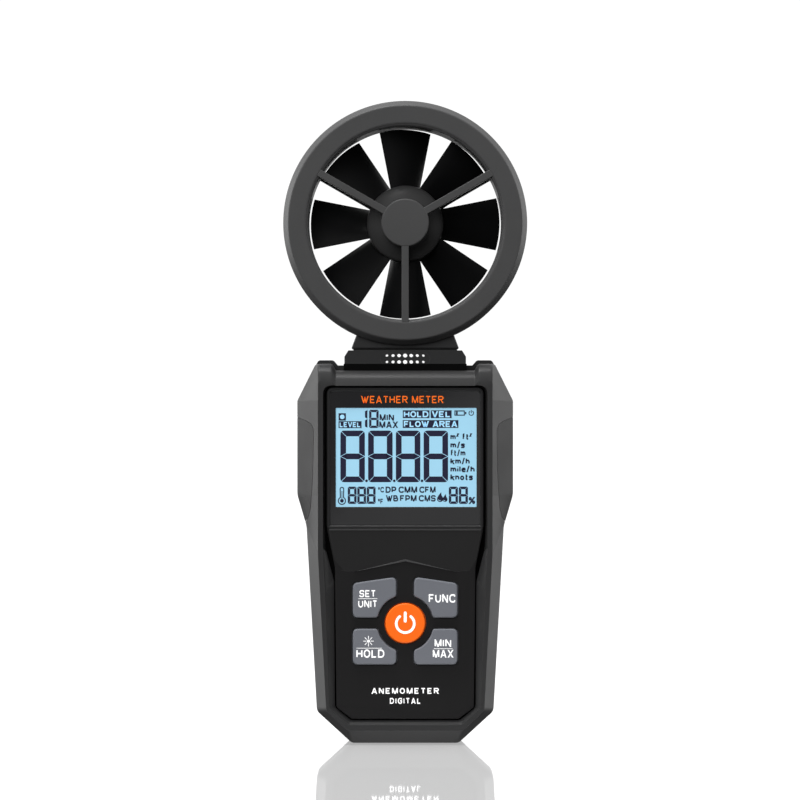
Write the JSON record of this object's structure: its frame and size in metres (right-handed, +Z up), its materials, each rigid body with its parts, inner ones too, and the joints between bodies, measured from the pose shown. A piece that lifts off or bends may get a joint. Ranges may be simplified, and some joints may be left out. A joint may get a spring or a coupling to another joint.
{
  "type": "handheld weather meter",
  "caption": "Handheld weather meter: a round wind vane head on a vented neck, with an LCD, four grey keys and an orange power key on a rubber-edged body.",
  "frame": {"origin": "middle of the flat base the meter stands on", "axes": "+Z up towards the vane head, -Y is the front with the display, +X is the viewer's right"},
  "size_m": [0.0798, 0.036, 0.21],
  "materials": {
    "grey_rubber": "satin",
    "dark_plastic": "matte",
    "grip_rubber": "matte",
    "black_plastic": "satin",
    "panel": "matte",
    "lens": "gloss",
    "lcd": "gloss",
    "white_plastic": "satin",
    "board_green": "satin",
    "power_orange": "satin",
    "key_grey": "satin",
    "brass": "satin",
    "rubber_black": "matte",
    "red_insulation": "satin",
    "battery_skin": "satin",
    "steel": "satin"
  },
  "bodies": {
    "housing": {"head_front_guard": "grey_rubber", "head_rear_guard": "grey_rubber", "front_bearing": "brass", "rear_bearing": "brass", "head_sensor_board": "board_green", "head_screw_90": "steel", "head_screw_210": "steel", "head_screw_330": "steel", "neck_front_cover": "dark_plastic", "neck_rear_cover": "dark_plastic", "humidity_board": "board_green", "humidity_sensor": "white_plastic", "sensor_cable": "rubber_black", "front_frame": "grey_rubber", "rear_case": "dark_plastic", "grip_left": "grip_rubber", "grip_right": "grip_rubber", "case_gasket": "rubber_black", "face_panel": "panel", "display_lens": "lens", "lcd_glass": "lcd", "lcd_light_guide": "white_plastic", "zebra_strip": "rubber_black", "lcd_holder": "white_plastic", "main_board": "board_green", "processor_chip": "black_plastic", "buzzer": "black_plastic", "keypad_membrane": "rubber_black", "battery_9v": "battery_skin", "battery_snap": "black_plastic", "battery_lead_red": "red_insulation", "battery_lead_black": "rubber_black", "tripod_insert": "brass", "case_screw_top_left": "steel", "case_screw_top_right": "steel", "case_screw_bottom_left": "steel", "case_screw_bottom_right": "steel", "switch_power_key": "black_plastic", "switch_key_top_left": "black_plastic", "switch_key_top_right": "black_plastic", "switch_key_bottom_left": "black_plastic", "switch_key_bottom_right": "black_plastic"},
    "vane": {"impeller": "black_plastic", "impeller_shaft": "steel", "pickup_magnet": "steel"},
    "door": {"battery_door": "dark_plastic", "battery_door_screw": "steel"},
    "power_key": {"power_key": "power_orange"},
    "key_top_left": {"key_top_left": "key_grey"},
    "key_top_right": {"key_top_right": "key_grey"},
    "key_bottom_left": {"key_bottom_left": "key_grey"},
    "key_bottom_right": {"key_bottom_right": "key_grey"}
  },
  "joints": [
    {"name": "impeller_spin", "type": "hinge", "parent": "housing", "child": "vane", "pos_m": [0, 0, 0.1701], "axis": [0, 1, 0], "continuous": true},
    {"name": "power_key_press", "type": "slide", "parent": "housing", "child": "power_key", "axis": [0, 1, 0], "range_m": [0, 0.0008], "stiffness_N_per_m": 1200, "springref_m": -0.0008},
    {"name": "key_top_left_press", "type": "slide", "parent": "housing", "child": "key_top_left", "axis": [0, 1, 0], "range_m": [0, 0.0008], "stiffness_N_per_m": 1200, "springref_m": -0.0008},
    {"name": "key_top_right_press", "type": "slide", "parent": "housing", "child": "key_top_right", "axis": [0, 1, 0], "range_m": [0, 0.0008], "stiffness_N_per_m": 1200, "springref_m": -0.0008},
    {"name": "key_bottom_left_press", "type": "slide", "parent": "housing", "child": "key_bottom_left", "axis": [0, 1, 0], "range_m": [0, 0.0008], "stiffness_N_per_m": 1200, "springref_m": -0.0008},
    {"name": "key_bottom_right_press", "type": "slide", "parent": "housing", "child": "key_bottom_right", "axis": [0, 1, 0], "range_m": [0, 0.0008], "stiffness_N_per_m": 1200, "springref_m": -0.0008},
    {"name": "battery_door_lift", "type": "slide", "parent": "housing", "child": "door", "axis": [0, 1, 0], "range_m": [0, 0.03]}
  ]
}
